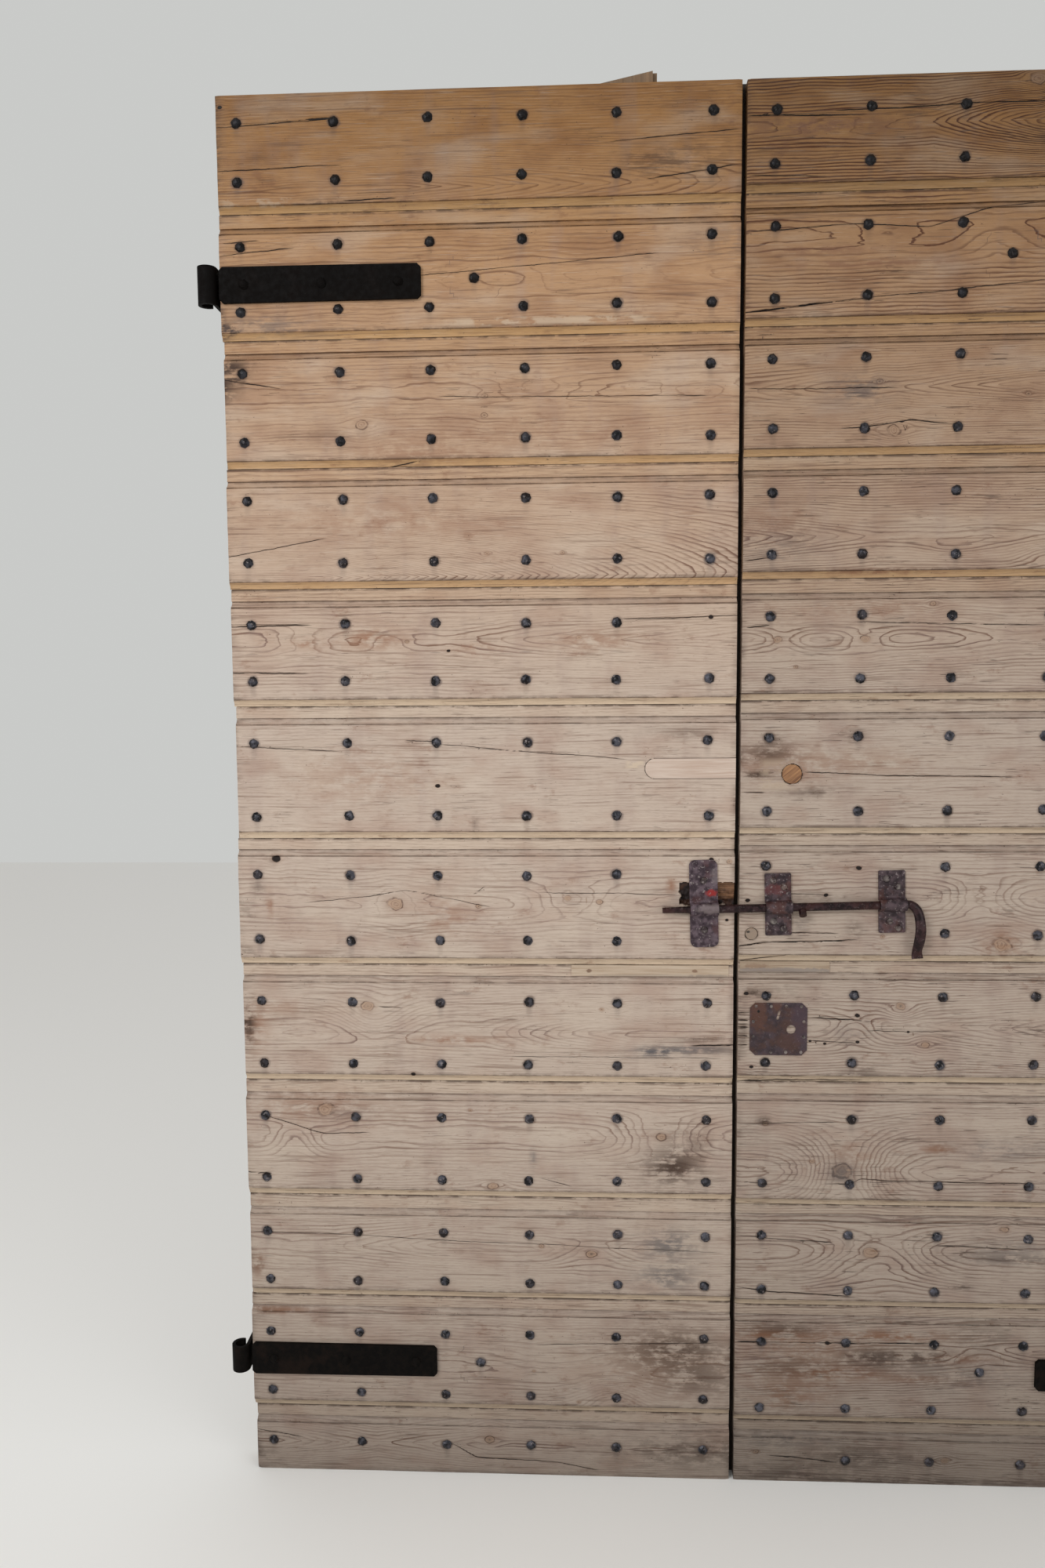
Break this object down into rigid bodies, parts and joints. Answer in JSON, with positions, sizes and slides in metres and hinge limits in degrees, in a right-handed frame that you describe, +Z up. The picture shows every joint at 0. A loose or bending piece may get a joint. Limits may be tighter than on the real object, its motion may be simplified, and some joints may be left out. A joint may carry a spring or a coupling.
{
  "type": "barn door",
  "caption": "Old two-leaf barn door of moulded pine boards with forged nails, strap hinges with rolled eyes and a sliding bolt.",
  "frame": {"origin": "on the floor under the middle of the gap between the leaves, in the middle of the front boards' thickness", "axes": "+Z up, +X to the right along the width as seen from the front, and the front faces -Y"},
  "size_m": [1.5814, 0.074, 2.126],
  "materials": {
    "front_pine": "old bare pine, brushed and weathered",
    "rear_pine": "old rough pine",
    "nail_iron": "dark forged iron",
    "hinge_iron": "dark forged iron with rust",
    "bolt_iron": "rusted iron with remains of red paint",
    "fixing_steel": "worn steel",
    "cover_iron": "dark rusted sheet iron",
    "repair_wood": "newer bare pine"
  },
  "bodies": {
    "door": {"left_front_board_01": "front_pine", "left_front_board_02": "front_pine", "left_front_board_03": "front_pine", "left_front_board_04": "front_pine", "left_front_board_05": "front_pine", "left_front_board_06": "front_pine", "left_front_board_07": "front_pine", "left_front_board_08": "front_pine", "left_front_board_09": "front_pine", "left_front_board_10": "front_pine", "left_front_board_11": "front_pine", "left_front_board_12": "front_pine", "right_front_board_01": "front_pine", "right_front_board_02": "front_pine", "right_front_board_03": "front_pine", "right_front_board_04": "front_pine", "right_front_board_05": "front_pine", "right_front_board_06": "front_pine", "right_front_board_07": "front_pine", "right_front_board_08": "front_pine", "right_front_board_09": "front_pine", "right_front_board_10": "front_pine", "right_front_board_11": "front_pine", "right_front_board_12": "front_pine", "left_rear_board_1": "rear_pine", "left_rear_board_2": "rear_pine", "left_rear_board_3": "rear_pine", "left_rear_board_4": "rear_pine", "left_rear_board_5": "rear_pine", "right_rear_board_1": "rear_pine", "right_rear_board_2": "rear_pine", "right_rear_board_3": "rear_pine", "right_rear_board_4": "rear_pine", "right_rear_board_5": "rear_pine", "left_nails": "nail_iron", "right_nails": "nail_iron", "left_hinge_nails": "nail_iron", "right_hinge_nails": "nail_iron", "left_upper_hinge_plate": "hinge_iron", "left_lower_hinge_plate": "hinge_iron", "right_upper_hinge_plate": "hinge_iron", "right_lower_hinge_plate": "hinge_iron", "left_upper_hinge_band": "hinge_iron", "left_lower_hinge_band": "hinge_iron", "right_upper_hinge_band": "hinge_iron", "right_lower_hinge_band": "hinge_iron", "bolt_keep": "bolt_iron", "bolt_guide_left": "bolt_iron", "bolt_guide_right": "bolt_iron", "keep_nails": "fixing_steel", "guide_fixings": "fixing_steel", "lock_cover_plate": "cover_iron", "lock_cover_tacks": "cover_iron", "left_joint_strip": "repair_wood", "right_joint_strip": "repair_wood", "wood_patch": "repair_wood", "wood_plugs": "repair_wood"},
    "bolt": {"bolt_bar": "bolt_iron", "bolt_stop_pin": "bolt_iron"}
  },
  "joints": [
    {"name": "bolt_slide", "type": "slide", "parent": "door", "child": "bolt", "axis": [0.9997, 0, 0.0262], "range_m": [-0.004, 0.109]}
  ]
}
